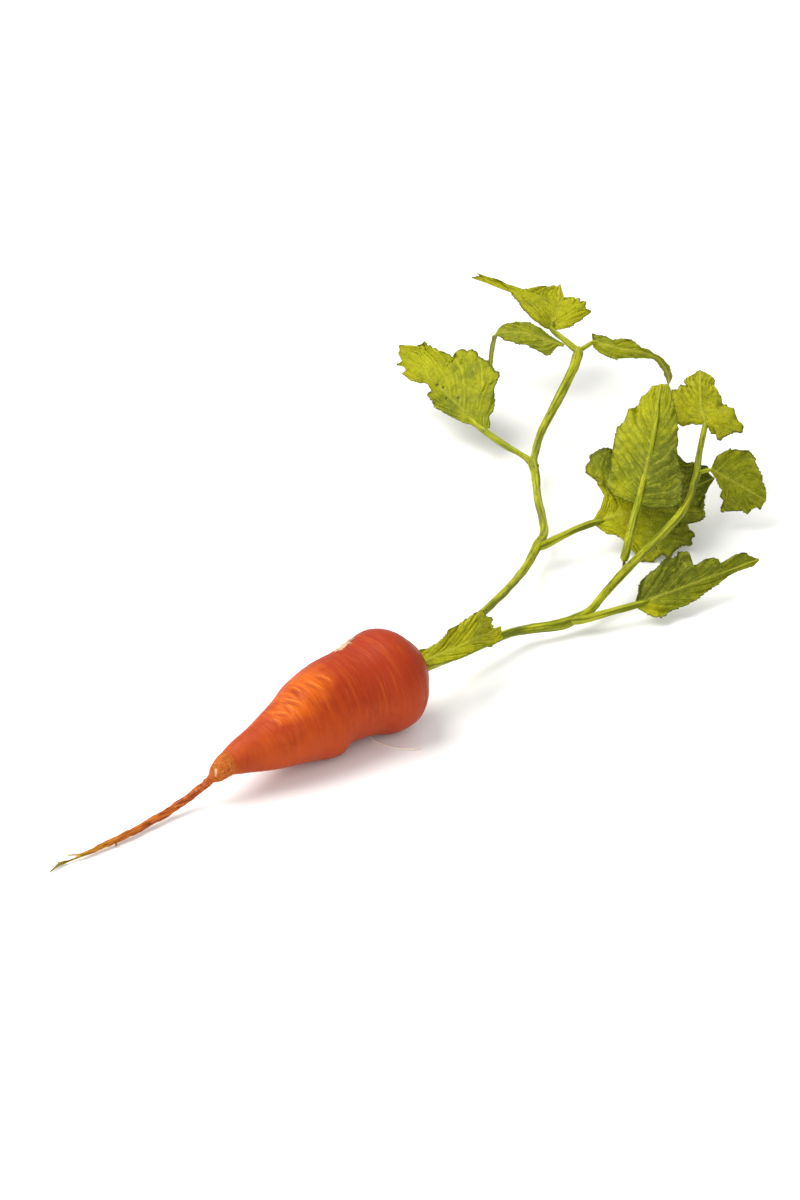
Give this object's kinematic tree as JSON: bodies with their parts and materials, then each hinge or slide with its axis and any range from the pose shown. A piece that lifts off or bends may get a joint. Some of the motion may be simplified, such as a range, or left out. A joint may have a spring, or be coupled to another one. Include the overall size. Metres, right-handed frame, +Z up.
{
  "type": "carrot",
  "caption": "A short, stout orange carrot lying on its side, with a long thin tail root and two bending green leaf stalks that carry broad toothed leaflets.",
  "frame": {"origin": "on the surface that the carrot lies on, in the flat of the root under its widest ring", "axes": "+X runs along the root from its tail to its crown, +Z is up, +Y completes a right-handed frame, towards the side that the tall stalk bends to"},
  "size_m": [0.4896, 0.2439, 0.0554],
  "materials": {
    "root_skin": "satin carrot skin with fine rings round it",
    "stalk": "satin green leaf stalk",
    "leaf": "matte green leaf with a net of veins"
  },
  "bodies": {
    "root": {"root": "root_skin", "stalk_tall": "stalk", "stalk_low": "stalk", "twig_broad": "stalk", "twig_left": "stalk", "twig_top": "stalk", "twig_drooping": "stalk", "branch_low": "stalk", "twig_upright": "stalk", "twig_side": "stalk", "leaf_basal": "leaf", "leaf_left": "leaf", "leaf_top": "leaf", "leaf_curled": "leaf", "leaf_drooping": "leaf", "leaf_broad": "leaf", "leaf_upright": "leaf", "leaf_spear": "leaf", "leaf_side": "leaf", "leaf_low": "leaf"}
  },
  "joints": []
}
